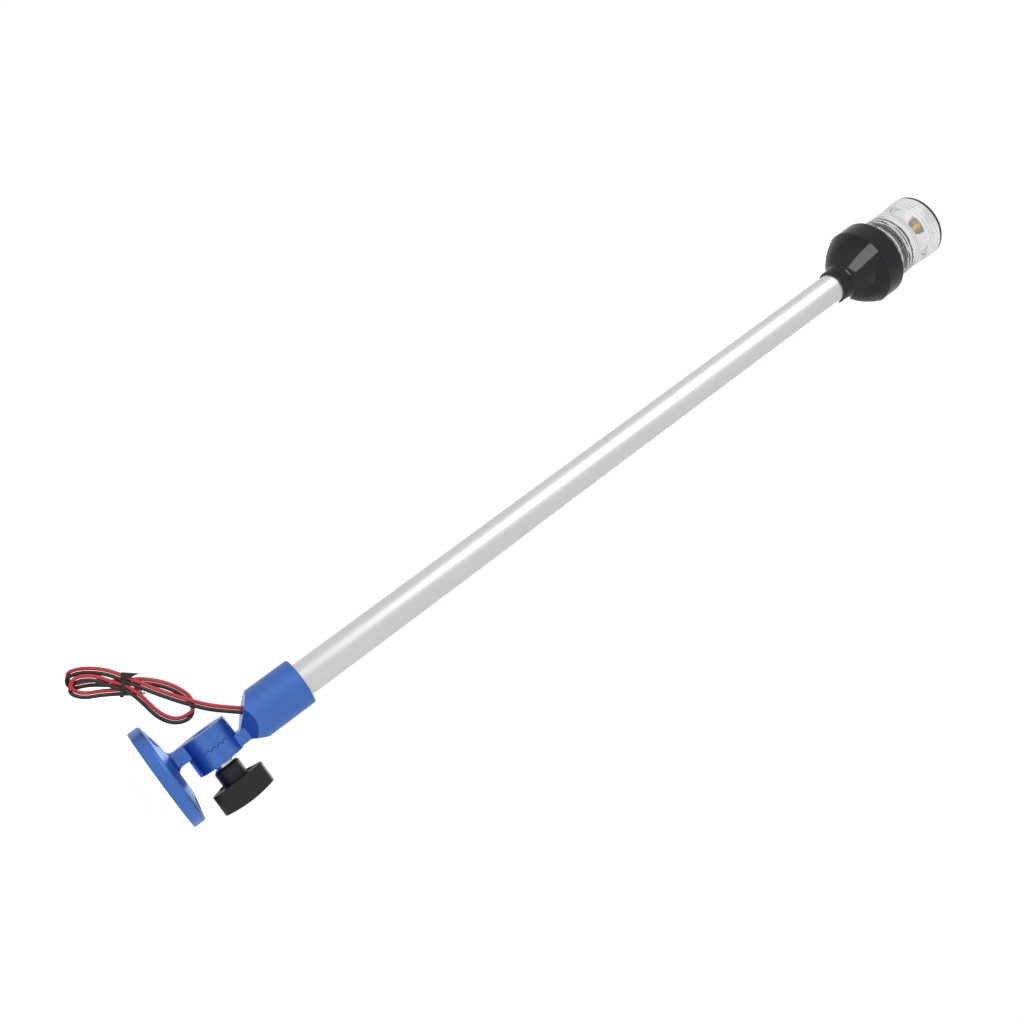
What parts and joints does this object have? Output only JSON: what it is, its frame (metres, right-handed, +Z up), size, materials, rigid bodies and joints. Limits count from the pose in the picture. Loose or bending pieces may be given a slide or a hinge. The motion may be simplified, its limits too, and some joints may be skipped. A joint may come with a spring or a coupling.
{
  "type": "navigation light",
  "caption": "All-round white pole light for a boat: clear lensed LED lamp on a metal tube, in a fold-down base with a toothed tilt joint and clamp knob.",
  "frame": {"origin": "centre of the round flange's mounting face", "axes": "+Z up the pole from the mounting face, +X along the tilt axis towards the clamp knob, +Y away from the knob's flat side"},
  "size_m": [0.1452, 0.0788, 0.7979],
  "materials": {
    "anodised_blue": "satin blue anodised, turned",
    "stainless": "bright stainless steel",
    "knob_black": "moulded black nylon, fine texture",
    "tube_aluminium": "clear anodised drawn tube",
    "grommet_rubber": "black rubber",
    "wire_red": "red vinyl insulation",
    "wire_black": "black vinyl insulation",
    "tinned_copper": "tinned copper strands",
    "tie_black": "black nylon",
    "housing_black": "glossy black moulded plastic",
    "lens_clear": "clear moulded polycarbonate",
    "seal_rubber": "black rubber",
    "board_green": "green circuit board",
    "component_black": "black component bodies",
    "carrier_aluminium": "extruded aluminium",
    "board_white": "white circuit board",
    "led_phosphor": "yellow phosphor under silicone"
  },
  "bodies": {
    "base": {"base_flange": "anodised_blue", "captive_nut": "stainless", "release_spring": "stainless"},
    "washer": {"flat_washer": "stainless", "lock_washer": "stainless"},
    "knob": {"clamp_knob": "knob_black", "clamp_stud": "stainless"},
    "pole": {"pole_socket": "anodised_blue", "socket_set_screws": "stainless", "pole_tube": "tube_aluminium", "wire_grommet": "grommet_rubber", "red_wire": "wire_red", "black_wire": "wire_black", "wire_conductors": "tinned_copper", "cable_tie": "tie_black", "lamp_housing": "housing_black", "housing_screw": "stainless", "lens": "lens_clear", "lens_seal": "seal_rubber", "driver_board": "board_green", "driver_components": "component_black", "led_carrier": "carrier_aluminium", "led_boards": "board_white", "led_emitters": "led_phosphor", "board_screws": "stainless"}
  },
  "joints": [
    {"name": "knob_turn", "type": "hinge", "parent": "washer", "child": "knob", "pos_m": [0.03, 0, 0.04], "axis": [1, 0, 0], "range_deg": [0, 720]},
    {"name": "clamp_release", "type": "slide", "parent": "base", "child": "washer", "axis": [1, 0, 0], "range_m": [0, 0.0025], "deforming": ["release_spring"]},
    {"name": "pole_tilt", "type": "hinge", "parent": "washer", "child": "pole", "pos_m": [0.0085, 0, 0.04], "axis": [1, 0, 0], "range_deg": [-90, 90]}
  ],
  "couplings": [
    {"joint": "knob_turn", "follows": "clamp_release", "rad_per_m": 5026.5}
  ]
}
